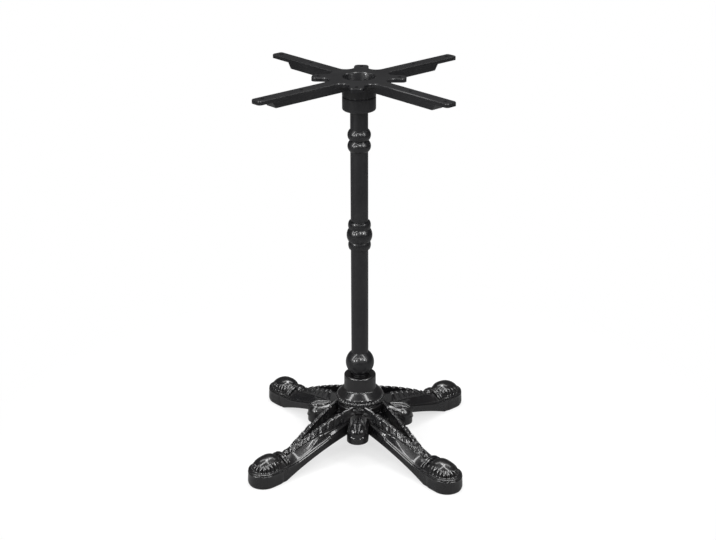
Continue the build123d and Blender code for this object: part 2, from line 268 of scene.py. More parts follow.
class ShaderTree:
    """Node tree of a material or the world, filled from Python."""

    def __init__(self, owner: Any) -> None:
        """Empties the owner's tree."""
        owner.use_nodes = True
        self.tree = owner.node_tree
        self.tree.nodes.clear()

    def node(self, kind: str, settings: Mapping[str, Any], inputs: Mapping[Any, Any]) -> Any:
        """Adds a node.

        Args:
            kind: Blender's name of the node type.
            settings: properties to set first; "stops" holds a ramp's (place, colour) pairs.
            inputs: socket name or number to a number, a colour, a socket or a Value.

        Returns:
            The node.
        """
        node = self.tree.nodes.new(kind)
        for name, value in settings.items():
            if name == "stops":
                self._stops(node, value)
            else:
                setattr(node, name, value)
        for name, value in inputs.items():
            source = value.socket if isinstance(value, Value) else value
            if isinstance(source, bpy.types.NodeSocket):
                self.tree.links.new(source, node.inputs[name])
            else:
                node.inputs[name].default_value = source
        return node

    @staticmethod
    def _stops(node: Any, stops: Sequence[tuple[float, tuple[float, ...]]]) -> None:
        """Sets a colour ramp's stops."""
        elements = node.color_ramp.elements
        while len(elements) < len(stops):
            elements.new(1.0)
        for element, (place, colour) in zip(elements, stops):
            element.position = place
            element.color = colour

    def value(
        self, kind: str, settings: Mapping[str, Any], inputs: Mapping[Any, Any], output: Any = 0
    ) -> Value:
        """Adds a node and wraps one of its outputs.

        Args:
            kind: Blender's name of the node type.
            settings: properties to set first.
            inputs: values or links of its sockets.
            output: name or number of the output.

        Returns:
            The output as a Value.
        """
        return Value(self, self.node(kind, settings, inputs).outputs[output])


@dataclass(frozen=True)
class Finish:
    """Painted or plated metal: colour, gloss and the fine unevenness of the surface."""

    slot: Slot
    colour: tuple[float, float, float]
    worn_colour: tuple[float, float, float]
    roughness: float
    roughness_spread: float
    metallic: float
    coat: float
    grain_scale: float
    grain_depth: float
    grain_detail: float = 3.0
    cloud_scale: float = 26.0
    cloud_detail: float = 4.0
    clean_stop: float = 0.35
    worn_stop: float = 0.8
    ripple_scale: float = 90.0
    ripple_detail: float = 1.0
    ripple_share: float = 1.6
    coat_roughness: float = 0.04

    def material(self) -> Any:
        """The finish as a material: noise in object coordinates varies colour, gloss and height."""
        material = bpy.data.materials.new(self.slot.value)
        shader = ShaderTree(material)
        place = shader.node("ShaderNodeTexCoord", {}, {}).outputs["Object"]

        def noise(scale: float, detail: float) -> Value:
            """Noise of a given scale and detail."""
            inputs = {"Vector": place, "Scale": scale, "Detail": detail}
            return shader.value("ShaderNodeTexNoise", {}, inputs, "Fac")

        cloud = noise(self.cloud_scale, self.cloud_detail)
        grain = noise(self.grain_scale, self.grain_detail)
        ripple = noise(self.ripple_scale, self.ripple_detail)
        stops = (self.clean_stop, (*self.colour, 1.0)), (self.worn_stop, (*self.worn_colour, 1.0))
        colour = shader.node("ShaderNodeValToRGB", {"stops": stops}, {"Fac": cloud})
        bump = shader.node(
            "ShaderNodeBump",
            {},
            {
                "Strength": 1.0,
                "Distance": self.grain_depth * MM,
                "Height": grain + self.ripple_share * ripple,
            },
        )
        paint = shader.node(
            "ShaderNodeBsdfPrincipled",
            {},
            {
                "Base Color": colour.outputs["Color"],
                "Metallic": self.metallic,
                "Roughness": self.roughness + self.roughness_spread * (cloud - 0.5),
                "Coat Weight": self.coat,
                "Coat Roughness": self.coat_roughness,
                "Normal": bump.outputs["Normal"],
            },
        )
        shader.node("ShaderNodeOutputMaterial", {}, {"Surface": paint.outputs["BSDF"]})
        return material


GLOSS_PAINT = Finish(
    Slot.GLOSS,
    colour=(0.005, 0.005, 0.006),
    worn_colour=(0.009, 0.008, 0.008),
    roughness=0.28,
    roughness_spread=0.1,
    metallic=0.0,
    coat=1.0,
    grain_scale=420.0,
    grain_depth=0.05,
)
SATIN_PAINT = Finish(
    Slot.SATIN,
    colour=(0.005, 0.005, 0.006),
    worn_colour=(0.009, 0.009, 0.01),
    roughness=0.34,
    roughness_spread=0.12,
    metallic=0.0,
    coat=0.6,
    grain_scale=520.0,
    grain_depth=0.06,
)
ZINC_PLATE = Finish(
    Slot.ZINC,
    colour=(0.42, 0.42, 0.40),
    worn_colour=(0.30, 0.29, 0.27),
    roughness=0.36,
    roughness_spread=0.15,
    metallic=1.0,
    coat=0.0,
    grain_scale=700.0,
    grain_depth=0.02,
)


@dataclass
class Piece:
    """One object of the part, joined from closed surfaces."""

    name: str
    surfaces: list[Surface]

    def mesh(self) -> Any:
        """The joined mesh in metres: doubles merged, faces outward and sharp edges marked."""
        firsts = np.cumsum([0] + [surface.points[..., 0].size for surface in self.surfaces])
        points = np.concatenate([surface.points.reshape(-1, 3) for surface in self.surfaces]) * MM
        corners = np.concatenate([s.corners() + first for s, first in zip(self.surfaces, firsts)])
        mesh = bpy.data.meshes.new(self.name)
        mesh.vertices.add(len(points))
        mesh.vertices.foreach_set("co", points.ravel())
        mesh.loops.add(corners.size)
        mesh.loops.foreach_set("vertex_index", corners.ravel())
        mesh.polygons.add(len(corners))
        mesh.polygons.foreach_set("loop_start", np.arange(0, corners.size, 4))
        mesh.update(calc_edges=True)
        mesh.validate()
        work = bmesh.new()
        work.from_mesh(mesh)
        bmesh.ops.remove_doubles(work, verts=work.verts, dist=MERGE_DISTANCE * MM)
        bmesh.ops.recalc_face_normals(work, faces=work.faces)
        work.to_mesh(mesh)
        work.free()
        mesh.shade_smooth()
        mesh.set_sharp_from_angle(angle=SHARP_ANGLE)
        return mesh

    def build(self, finish: Any, slot: Slot, *nodes: str) -> Any:
        """Puts the piece into the scene.

        Args:
            finish: its material.
            slot: the record's material slot; not used.
            nodes: names of the solids that it stands for.

        Returns:
            The new object.
        """
        thing = bpy.data.objects.new(self.name, self.mesh())
        bpy.context.scene.collection.objects.link(thing)
        thing.data.materials.append(finish)
        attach(thing, BODY)
        if nodes:
            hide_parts(*nodes)
        LOG.info("%s: %d faces", self.name, len(thing.data.polygons))
        return thing


@dataclass
class Capsule:
    """Body over a straight spine along +X: a (distance, height) outline carried round it."""

    inner: float
    outer: float
    girth: float
    sides: int
    flat_back: bool = False
    flat_share: float = 0.2

    def surface(self, profile: np.ndarray) -> Surface:
        """Each point is a spine point plus the outline's distance along the spine's outward normal.

        The normal turns half a circle round the outer end, stays square to the spine along each
        side and turns half a circle round the inner end, which may be cut off flat and then has
        fewer steps.  The steps are even along a round of the given girth and start at the outer
        end, so that both sides match.

        Args:
            profile: (distance, height) points.

        Returns:
            A grid with the outline down its rows.
        """
        bend, run = np.pi * self.girth, self.outer - self.inner
        back = bend * (self.flat_share if self.flat_back else 1.0)
        stops = np.cumsum([0.0, bend, run, back, run])
        even = np.linspace(0.0, stops[-1], self.sides, endpoint=False)
        step = (bend / 2.0 + even) % stops[-1]
        angle = np.interp(step, stops, np.pi * np.array([-0.5, 0.5, 0.5, 1.5, 1.5]))
        ends = [self.outer, self.outer, self.inner, self.inner, self.outer]
        spine = np.interp(step, stops, ends)
        onward = np.maximum(np.cos(angle), 0.0) if self.flat_back else np.cos(angle)
        distance, height = profile[:, :1], profile[:, 1:]
        points = np.stack(
            [
                spine + distance * onward,
                distance * np.sin(angle),
                np.broadcast_to(height, (len(profile), self.sides)),
            ],
            axis=-1,
        )
        return Surface(points)


@dataclass
class Section:
    """Outline across the leg at every reach at once, grown as (sideways, height) runs."""

    rows: int

    def __post_init__(self) -> None:
        """Starts with no runs."""
        self.runs: list[np.ndarray] = []

    def run(self, start: tuple, end: tuple, steps: int, swell: np.ndarray | float = 0.0) -> None:
        """Adds a straight run, pushed outwards by a swell.

        Args:
            start: sideways and height arrays of its first point, one value for each reach.
            end: the same for its last point, which isn't added.
            steps: number of points.
            swell: distance to push each point to the right of the run, by reach and step.
        """
        share = np.linspace(0.0, 1.0, steps, endpoint=False)
        first = np.stack([np.broadcast_to(v, self.rows) for v in start], axis=-1)[:, None]
        last = np.stack([np.broadcast_to(v, self.rows) for v in end], axis=-1)[:, None]
        way = last - first
        length = np.maximum(np.linalg.norm(way, axis=-1, keepdims=True), LEAST_LENGTH)
        normal = np.stack([way[..., 1], -way[..., 0]], axis=-1) / length
        push = np.broadcast_to(swell, (self.rows, steps))[..., None]
        self.runs.append(first + way * share[None, :, None] + normal * push)

    def closed(self, inside: np.ndarray) -> np.ndarray:
        """Both sides of the leg as one closed loop, with the hollow's outline after it.

        Args:
            inside: (reaches, points, 2) outline of the hollow's half, from the edge to the middle.

        Returns:
            (reaches, points, 2) loop.
        """
        half = np.concatenate(self.runs, axis=1)
        flip = np.array([-1.0, 1.0])
        parts = [half, half[:, ::-1] * flip, inside * flip, inside[:, ::-1]]
        return np.concatenate(parts, axis=1)


@dataclass(frozen=True)
class Arch:
    """Value along the leg: a straight line from hub to ankle plus a parabola between them.

    Attributes:
        root: value at the hub.
        ankle: value at the ankle.
        camber: height of the parabola halfway.
        level: turn softly to the ankle's value and keep it past the ankle.
    """

    root: float
    ankle: float
    camber: float = 0.0
    level: bool = False


@dataclass
class LeafLeg:
    """Leg with a plain wall, a double side moulding, a trough and two raised leaf borders."""

    start: float = 36.0
    root: float = 45.0
    ankle: float = 178.0
    end: float = 220.0
    rows: int = 152
    wall: float = 5.0
    turn: float = 0.03
    # Plain wall, from its lower edge to the moulding.
    sill: Arch = Arch(44.5, 10.6, 3.5)
    sill_half: float = 26.3
    lowest: float = 1.0
    chamfer: float = 1.2
    flare: float = 2.3
    flare_lead: float = 12.0
    sill_flare: float = 0.4
    # Double bead, which steps inwards as it goes up.
    moulding: Arch = Arch(65.0, 26.6, level=True)
    moulding_half: float = 24.0
    moulding_proud: float = 0.8
    moulding_start: float = 94.0
    moulding_fade: tuple[float, float] = (-3.0, 9.0)
    moulding_r: float = 1.6
    bead_steps: int = 8
    bead_stops: tuple[tuple[float, float], ...] = ((0.0, -3.4), (1.5, -0.3), (3.8, 2.5))
    toe_loss: float = 0.6
    toe_lead: float = 24.0
    # Panel between the beads and the leaf border, with a thin line near its top.
    panel_steps: int = 16
    panel_in: float = 4.0
    panel_gap: float = 0.1
    panel_low: float = 2.8
    panel_top_in: float = 0.6
    panel_bow: float = 0.6
    panel_hollow: float = 0.2
    ankle_bow: float = 1.5
    ankle_fade: tuple[float, float] = (-10.0, 8.0)
    hollow_fade: tuple[float, float] = (0.0, 30.0)
    line_height: float = 1.5
    line_end: float = 104.0
    line_fade: tuple[float, float] = (0.0, 14.0)
    line_place: float = 0.8
    line_width: float = 0.11
    notch_pitch: float = 5.0
    notch_depth: float = 0.5
    notch_fade: tuple[float, float] = (74.0, 84.0)
    # Leaf border, its crest and the trough behind it.
    border_foot: Arch = Arch(71.5, 40.0, 4.0, level=True)
    border_half: Arch = Arch(24.5, 6.0, 1.5, level=True)
    border_steps: int = 18
    border_out: float = 0.9
    border_up: float = 0.3
    border_rise: float = 0.3
    pitch: float = 16.5
    first: float = 62.0
    first_fade: tuple[float, float] = (-2.0, 6.0)
    last_fade: tuple[float, float] = (-12.0, -2.0)
    slant: float = 9.0
    leaflet_height: float = 3.0
    rib_place: float = 0.1
    rib_width: float = 0.16
    crest: Arch = Arch(93.5, 42.0, 4.5, level=True)
    crest_half: Arch = Arch(22.0, 0.6, level=True)
    crest_least: float = 0.6
    crest_width: float = 4.0
    crest_out: float = 0.8
    crest_drop: float = 1.4
    crest_share: float = 0.3
    crest_steps: int = 3
    crest_swell: float = 0.4
    scallop: float = 3.2
    scallop_middle: float = 0.5
    trough: Arch = Arch(69.0, 39.5, level=True)
    trough_in: float = 7.0
    trough_least: float = 0.4
    trough_dip: float = 0.6
    trough_steps: int = 10
    trough_relief: float = 0.5
    trough_rise: float = 0.5
    # Hollow underneath.
    hollow_drop: float = 3.0
    hollow_least: float = 1.0

    def reach(self) -> np.ndarray:
        """Distances of the sections from the column's axis."""
        return np.linspace(self.start, self.end, self.rows)

    def along(self, arch: Arch) -> np.ndarray:
        """Value of an arch at each reach.

        Args:
            arch: the line to follow.

        Returns:
            One value for each reach.
        """
        share = (self.reach() - self.root) / (self.ankle - self.root)
        if arch.level:
            share = 1.0 - self.turn * np.log1p(np.exp((1.0 - share) / self.turn))
        straight = arch.root + (arch.ankle - arch.root) * share
        return straight + 4.0 * arch.camber * share * (1.0 - share)

    def fade(self, place: float, span: tuple[float, float]) -> np.ndarray:
        """Smooth step along the leg.

        Args:
            place: reach that the span is measured from.
            span: where the step starts and ends.

        Returns:
            One value from 0 to 1 for each reach.
        """
        return ramp(self.reach(), place + span[0], place + span[1])

    def leaflets(self, rise: np.ndarray, rib: float = 0.3) -> np.ndarray:
        """Leaf relief: half circles repeated along the leg that lean to the foot lower down.

        Args:
            rise: how far up the border each step lies, from 0 to 1.
            rib: depth of the cut along each leaflet's middle.

        Returns:
            Heights from 0 to 1 by reach and step.
        """
        reach = self.reach()[:, None]
        place = (reach - self.first - self.slant * (1.0 - rise)) / self.pitch
        across = 2.0 * (place % 1.0) - 1.0
        body = np.sqrt(np.clip(1.0 - across**2, 0.0, 1.0))
        body = body - rib * hump(across, self.rib_place, self.rib_width)
        here = self.fade(self.first, self.first_fade)
        here = here * (1.0 - self.fade(self.ankle, self.last_fade))
        return here[:, None] * body

    def panel_swell(self) -> np.ndarray:
        """Bow of the panel by reach and step, with the thin line, which is notched near the hub."""
        reach = self.reach()
        crown = self.panel_bow * (1.0 + self.ankle_bow * self.fade(self.ankle, self.ankle_fade))
        hollow = 1.0 - self.fade(self.line_end, self.hollow_fade)
        crown = crown - (self.panel_bow + self.panel_hollow) * hollow
        line = self.line_height * (1.0 - self.fade(self.line_end, self.line_fade))
        notch = self.notch_depth * np.cos(2.0 * np.pi * reach / self.notch_pitch)
        line = line * (1.0 + notch * (1.0 - self.fade(0.0, self.notch_fade)))
        up = np.linspace(0.0, 1.0, self.panel_steps, endpoint=False)
        bow = 4.0 * crown[:, None] * up * (1.0 - up)
        return bow + line[:, None] * hump(up, self.line_place, self.line_width)

    def add_side(self, section: Section, sill: np.ndarray, moulding: np.ndarray) -> None:
        """Adds the wall, the double bead and the panel.

        Args:
            section: outline that grows.
            sill: height of the wall's lower edge at each reach.
            moulding: height of the moulding at each reach.
        """
        here = self.fade(self.moulding_start, self.moulding_fade)
        toe = ramp(self.reach(), self.ankle + self.toe_lead, self.end)
        bead = self.moulding_r * here * (1.0 - self.toe_loss * toe)
        flare = self.flare * ramp(self.reach(), self.ankle - self.flare_lead, self.end)
        side = self.moulding_half + self.moulding_proud + flare
        edge = self.sill_half + self.sill_flare * flare
        low, mid, high = ((side - inward * here, moulding + up) for inward, up in self.bead_stops)
        turn = np.linspace(-1.0, 1.0, self.bead_steps, endpoint=False)
        swell = bead[:, None] * np.sqrt(1.0 - turn**2)
        above = sill + self.chamfer
        section.run((edge - self.chamfer, sill), (edge, above), steps=2)
        section.run((edge, above), low, steps=4)
        section.run(low, mid, self.bead_steps, swell)
        section.run(mid, high, self.bead_steps, swell)
        foot = (self.along(self.border_half) - self.panel_top_in, self.along(self.border_foot))
        start = (side - self.panel_in * here - self.panel_gap, moulding + self.panel_low)
        section.run(start, foot, self.panel_steps, self.panel_swell())

    def add_border(self, section: Section, floor: np.ndarray) -> None:
        """Adds the leaf border, its crest, its inner face and the trough's floor.

        Args:
            section: outline that grows.
            floor: height of the trough's floor at each reach.
        """
        foot_half, foot = self.along(self.border_half), self.along(self.border_foot)
        half = np.maximum(self.along(self.crest_half), self.crest_least)
        top = self.leaflets(np.ones(1), 0.0)[:, 0]
        crest = self.along(self.crest) + self.scallop * (top - self.scallop_middle * (top > 0))
        lean = np.minimum(self.crest_width, half)
        outer = (half + self.crest_out, crest - self.crest_drop)
        ridge = (half - self.crest_share * lean, crest)
        inner = (half - lean, crest - self.crest_drop)
        rise = np.linspace(0.0, 1.0, self.border_steps, endpoint=False)
        relief = self.leaflet_height * self.leaflets(rise) * ramp(rise, 0.0, self.border_rise)
        start = (foot_half + self.border_out, foot + self.border_up)
        section.run(start, outer, self.border_steps, relief)
        section.run(outer, ridge, self.crest_steps, self.crest_swell)
        section.run(ridge, inner, self.crest_steps, self.crest_swell)
        fall = np.linspace(1.0, 0.0, self.trough_steps, endpoint=False)
        relief = self.trough_relief * self.leaflet_height * self.leaflets(fall)
        relief = relief * ramp(fall, 0.0, self.trough_rise)
        floor_half = np.maximum(foot_half - self.trough_in, self.trough_least)
        bottom = (np.minimum(floor_half, half), floor)
        section.run(inner, bottom, self.trough_steps, relief)
        section.run(bottom, (0.0, floor - self.trough_dip), steps=3)

    def surface(self) -> Surface:
        """The leg as one closed grid: over the borders and back through the hollow."""
        reach = self.reach()
        sill = np.maximum(self.along(self.sill), self.lowest)
        moulding, floor = self.along(self.moulding), self.along(self.trough)
        section = Section(self.rows)
        self.add_side(section, sill, moulding)
        self.add_border(section, floor)
        border = np.maximum(self.along(self.border_half) - self.wall, self.hollow_least)
        inside = (
            (np.full(self.rows, self.sill_half - self.wall), sill),
            (np.full(self.rows, self.moulding_half - self.wall), moulding - self.hollow_drop),
            (border, floor - self.wall),
        )
        loop = section.closed(np.stack([np.stack(point, axis=-1) for point in inside], axis=1))
        spread = np.broadcast_to(reach[:, None], loop.shape[:2])
        return Surface(np.concatenate([spread[..., None], loop], axis=-1)).capped()


@dataclass
class BallFoot:
    """Ball with upright flutes on a plain shoe, with a pearl and two rings at the ankle."""

    reach: float = 228.0
    dome_reach: float = 227.5
    dome_r: float = 24.4
    dome_half: float = 6.0
    dome_z: float = 27.0
    dome_fall: float = 0.16
    flutes: int = 20
    flute_depth: float = 2.6
    shoe_half: float = 8.0
    pearl_reach: float = 182.0
    pearl_r: float = 7.4
    pearl_z: float = 40.5
    ring_reaches: tuple[float, float] = (192.0, 197.5)
    ring_r: float = 2.7
    ring_half: float = 22.0
    ring_drop: float = 15.0
    ring_top: float = 42.8
    dome_end: float = 0.08
    dome_rows: int = 40
    dome_sides: int = 200
    flute_top: float = 14.5
    flute_arch: float = 4.5
    flute_fade: tuple[float, float] = (-3.0, 0.5)
    rim_rise: float = 3.4
    rim_height: float = 0.9
    rim_width: float = 1.0
    shoe_sides: int = 120
    pearl_rows: int = 24
    pearl_sides: int = 36
    ring_rows: int = 40
    ring_sides: int = 12

    def dome(self) -> Surface:
        """Half balls on a short spine, lower at the toe, with flutes that end in arches."""
        tilt = np.linspace(np.pi / 2.0, self.dome_end, self.dome_rows)
        height = self.dome_z + self.dome_r * np.sin(tilt)
        profile = np.stack([self.dome_r * np.cos(tilt), height], axis=-1)
        first, last = self.dome_reach - self.dome_half, self.dome_reach + self.dome_half
        body = Capsule(first, last, self.dome_r, self.dome_sides).surface(profile)
        toe = ramp(body.points[..., 0], first, self.dome_reach + self.dome_r)
        above = np.maximum(body.points[..., 2] - self.dome_z, 0.0)
        body.points[..., 2] -= self.dome_fall * toe * above
        angle = np.linspace(0.0, 1.0, self.dome_sides, endpoint=False)[None, :]
        across = 2.0 * ((angle * self.flutes) % 1.0) - 1.0
        arch = np.sqrt(np.clip(1.0 - across**2, 0.0, 1.0))
        limit = self.dome_z + self.flute_top + self.flute_arch * arch
        start, end = (limit + step for step in self.flute_fade)
        relief = self.flute_depth * (arch - 1.0) * (1.0 - ramp(height[:, None], start, end))
        rim = self.rim_height * hump(height[:, None], self.dome_z + self.rim_rise, self.rim_width)
        return body.raised(relief + rim).floored()

    def shoe(self) -> Surface:
        """Shoe with a double rim line, closed over its hollow inside the ball."""
        profile = (
            Profile(0.0, 36.0)
            .line((14.0, 33.0), (24.0, 29.6), (26.0, 29.8))
            .arc((27.6, 27.0), -1.0, 6)
            .line((27.0, 26.2))
            .arc((28.2, 23.4), -0.8, 5)
            .line((28.5, 17.0))
            .arc((28.75, 9.0), -0.1, 4)
            .arc((26.5, 0.0), -1.0, 8)
            .line((20.5, 0.0), (8.5, 33.0), (0.0, 33.0))
        )
        first, last = self.reach - self.shoe_half, self.reach + self.shoe_half
        return Capsule(first, last, self.dome_r, self.shoe_sides).surface(profile.points())

    def pearl(self) -> Surface:
        """Ball: a half circle turned about an upright axis."""
        tilt = np.linspace(np.pi / 2.0, -np.pi / 2.0, self.pearl_rows)
        half_circle = self.pearl_r * np.stack([np.cos(tilt), np.sin(tilt)], axis=-1)
        ball = lathe(half_circle, self.pearl_sides)
        return Surface(ball.points + np.array([self.pearl_reach, 0.0, self.pearl_z]))

    def ring(self, reach: float) -> Surface:
        """Round bar over the ankle: a circle carried along an arch across the leg.

        Args:
            reach: where it lies along the leg.

        Returns:
            A closed bar with drawn-in ends.
        """
        turn = np.linspace(0.0, np.pi, self.ring_rows)[:, None]
        around = np.linspace(0.0, 2.0 * np.pi, self.ring_sides, endpoint=False)[None, :]
        side, rise = np.cos(turn), np.sin(turn)
        bar = self.ring_r * np.cos(around)
        points = np.stack(
            [
                reach + self.ring_r * np.sin(around) + 0.0 * turn,
                side * (self.ring_half + bar),
                self.ring_top - self.ring_drop + rise * (self.ring_drop + bar),
            ],
            axis=-1,
        )
        return Surface(points).capped()

    def surfaces(self) -> list[Surface]:
        """All surfaces of one foot on the +X axis."""
        rings = [self.ring(reach) for reach in self.ring_reaches]
        return [self.dome(), self.shoe(), self.pearl(), *rings]


@dataclass
class BudLobe:
    """Vaulted lobe between two legs: a leaf bud, side strokes and a curved moulding on its nose."""

    inner: float = 38.0
    reach: float = 80.0
    radius: float = 20.0
    sill: float = 45.0
    spring: float = 60.0
    wall: float = 5.0
    bud_root: float = 52.0
    bud_length: float = 56.0
    bud_half: float = 10.5
    bud_height: float = 3.2
    stroke_side: float = 14.0
    ridge: float = 1.6
    smile_z: float = 56.5
    smile_half: float = 13.0
    smile_curl: float = 0.018
    arch_rows: int = 48
    wall_rows: int = 12
    back_rows: int = 12
    sides: int = 240
    bud_power: float = 0.75
    bud_least: float = 1e-3
    root_fade: float = 0.12
    tip_fade: float = 0.9
    stroke_width: float = 1.4
    stroke_lead: float = 12.0
    stroke_lag: float = 4.0
    smile_width: float = 1.5
    smile_fade: tuple[float, float] = (-3.0, 2.0)
    smile_past: tuple[float, float] = (4.0, 10.0)

    def outline(self) -> tuple[np.ndarray, int]:
        """Outline over the arch, down the wall and back up the hollow.

        Returns:
            (distance, height) points, and how many of them carry relief.
        """
        tilt = np.linspace(np.pi / 2.0, 0.0, self.arch_rows)
        vault = self.spring + self.radius * np.sin(tilt)
        outside = np.stack([self.radius * np.cos(tilt), vault], axis=-1)
        fall = np.linspace(self.spring, self.sill, self.wall_rows + 1)[1:]
        wall = np.stack([np.full(self.wall_rows, self.radius), fall], axis=-1)
        hollow = self.radius - self.wall
        rise = np.linspace(0.0, np.pi / 2.0, self.back_rows)
        back = np.stack([hollow * np.cos(rise), self.spring + hollow * np.sin(rise)], axis=-1)
        edge = np.array([[hollow, self.sill]])
        return np.concatenate([outside, wall, edge, back]), len(outside) + len(wall) - 1

    def relief(self, points: np.ndarray) -> np.ndarray:
        """Height of the carving: the bud is two half ellipses, strokes and moulding are ridges.

        Args:
            points: grid of the plain lobe.

        Returns:
            One height for each point.
        """
        reach, side, height = np.moveaxis(points, -1, 0)
        past = np.maximum(reach - self.reach, 0.0)
        up = np.maximum(height - self.spring, LEAST_LENGTH)
        way = np.minimum(reach, self.reach) + self.radius * np.arctan2(past, up)
        share = np.clip((way - self.bud_root) / self.bud_length, 0.0, 1.0)
        half = self.bud_half * np.sin(np.pi * share) ** self.bud_power + self.bud_least
        middle = np.abs(side) / half
        petals = np.clip(1.0 - (2.0 * middle - 1.0) ** 2, 0.0, 1.0)
        petals = petals * ramp(share, 0.0, self.root_fade)
        petals = petals * (1.0 - ramp(share, self.tip_fade, 1.0))
        first, last = self.bud_root + self.stroke_lead, self.reach + self.stroke_lag
        stroke = hump(np.abs(side), self.stroke_side, self.stroke_width)
        stroke = stroke * (1.0 - ramp(way, first, last))
        start, stop = (self.smile_half + step for step in self.smile_fade)
        smile = hump(height, self.smile_z + self.smile_curl * side**2, self.smile_width)
        smile = smile * (1.0 - ramp(np.abs(side), start, stop)) * ramp(past, *self.smile_past)
        return self.bud_height * petals + self.ridge * (stroke + smile)

    def surface(self) -> Surface:
        """Arch with a round end and a flat back, carved on its outside."""
        profile, carved = self.outline()
        body = Capsule(self.inner, self.reach, self.radius, self.sides, flat_back=True)
        plain = body.surface(profile)
        outer = np.zeros(len(profile))
        outer[:carved] = 1.0
        return plain.raised(self.relief(plain.points) * outer[:, None])


@dataclass
class Hub:
    """Turned middle of the foot with its twisted moulding."""

    rope_r: float = 43.0
    rope_z: float = 97.0
    rope_width: float = 3.3
    rope_height: float = 4.8
    strands: int = 40
    strand_depth: float = 0.9
    strand_middle: float = 0.6
    strand_steps: int = 8
    rope_sides: int = 28
    sides: int = 160

    def body(self) -> Surface:
        """Neck, shoulder, drum and plinth outside; socket, rod hole and nut chamber inside."""
        profile = (
            Profile(43.0, 45.0)
            .line((43.0, 79.0), (44.0, 80.5))
            .arc((46.0, 83.0), 0.8, 5)
            .line((46.0, 87.0))
            .arc((44.2, 90.4), 0.8, 6)
            .line((43.0, 91.2), (42.2, 93.0), (42.2, 101.0), (43.4, 102.2))
            .arc((41.2, 107.4), 0.8, 8)
            .line((33.4, 115.6), (32.4, 116.2))
            .arc((30.6, 118.8), -0.8, 6)
            .line((30.0, 121.0), (30.0, 141.8))
            .arc((27.2, 145.0), 0.9, 6)
            .line((18.6, 145.0))
            .arc((16.6, 143.2), 0.6, 4)
            .line((16.3, 130.0), (6.75, 130.0), (6.75, 118.0), (23.0, 118.0), (23.0, 112.0))
            .line((36.0, 98.0), (36.0, 45.0), (43.0, 45.0))
        )
        return lathe(profile.points(), self.sides)

    def rope(self) -> Surface:
        """Ring whose thickness rises and falls with the strands that wind round it."""
        steps = self.strands * self.strand_steps
        angle = np.linspace(0.0, 2.0 * np.pi, steps, endpoint=False)[:, None]
        around = np.linspace(0.0, 2.0 * np.pi, self.rope_sides, endpoint=False)[None, :]
        strand = np.abs(np.cos((self.strands * angle - around) / 2.0)) - self.strand_middle
        swell = 1.0 + self.strand_depth / self.rope_width * strand
        radius = self.rope_r + self.rope_width * swell * np.cos(around)
        height = self.rope_z + self.rope_height * swell * np.sin(around)
        points = np.stack([radius * np.cos(angle), radius * np.sin(angle), height], axis=-1)
        return Surface(np.concatenate([points, points[:1]]))

    def surfaces(self) -> list[Surface]:
        """Hub and moulding."""
        return [self.body(), self.rope()]


@dataclass
class Column:
    """Hollow column: foot, ball, middle collar, twin rings and top collar."""

    foot: float = 130.0
    hub_top: float = 145.0
    top: float = 685.0
    radius: float = 16.0
    bore: float = 10.0
    knot_rise: float = 254.0
    ring_drop: float = 60.5
    sides: int = 112

    def surface(self) -> Surface:
        """Outline turned about the axis."""
        r = self.radius
        knot = self.hub_top + self.knot_rise
        rings = self.top - self.ring_drop
        top, bore = self.top, self.bore
        profile = (
            Profile(bore, self.foot)
            .line((r, self.foot), (r, self.hub_top + 2.5))
            .arc((r, self.hub_top + 45.5), 10.8, 40)
            .line((r, self.hub_top + 100.0), (r, knot), (19.3, knot))
            .arc((19.5, knot + 13.5), 1.4, 10)
            .arc((19.5, knot + 38.5), 4.0, 18)
            .arc((19.3, knot + 52.0), 1.4, 10)
            .line((r, knot + 52.0), (r, rings - 70.0), (r, rings - 40.8), (16.5, rings - 40.8))
            .arc((16.5, rings - 20.4), 4.5, 18)
            .arc((16.5, rings), 4.5, 18)
            .line((r, rings), (r, top - 25.0), (26.5, top - 25.0))
            .arc((30.0, top - 21.5), 1.02, 8)
            .line((30.0, top - 1.5), (28.5, top), (bore, top), (bore, self.foot))
        )
        return lathe(profile.points(), self.sides)


@dataclass
class FootCasting:
    """The whole foot: hub, legs, feet and lobes."""

    hub: Hub
    leg: LeafLeg
    foot: BallFoot
    lobe: BudLobe

    def build(self, paint: Any) -> None:
        """Builds and dresses its pieces and hides the solid casting.

        Args:
            paint: material of the casting.
        """
        leg, lobe = self.leg.surface(), self.lobe.surface()
        foot = self.foot.surfaces()
        groups = {
            "foot_hub": self.hub.surfaces(),
            "foot_legs": [leg.turned(angle) for angle in LEG_ANGLES],
            "foot_balls": [part.turned(angle) for angle in LEG_ANGLES for part in foot],
            "foot_lobes": [lobe.turned(angle) for angle in LOBE_ANGLES],
        }
        things = [Piece(name, parts).build(paint, Slot.GLOSS) for name, parts in groups.items()]
        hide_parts("base_casting")


@dataclass(frozen=True)
class Lamp:
    """Long studio lamp between two points, with its face turned to a point of the object."""

    name: str
    start: tuple[float, float, float]
    end: tuple[float, float, float]
    width: float
    radiance: float
    aim: tuple[float, float, float] = (0.0, 0.0, 0.1)

    def build(self) -> None:
        """Adds the lamp; its power is radiance times area times pi."""
        first, last, aim = Vector(self.start), Vector(self.end), Vector(self.aim)
        middle = (first + last) / 2.0
        long = (last - first).normalized()
        back = (middle - aim).normalized()
        back = (back - long * back.dot(long)).normalized()
        light = bpy.data.lights.new(self.name, "AREA")
        light.shape = "RECTANGLE"
        light.size, light.size_y = (last - first).length, self.width
        light.energy = np.pi * light.size * light.size_y * self.radiance
        lamp = bpy.data.objects.new(self.name, light)
        lamp.location = middle
        lamp.rotation_euler = Matrix((long, back.cross(long), back)).transposed().to_euler()
        bpy.context.scene.collection.objects.link(lamp)


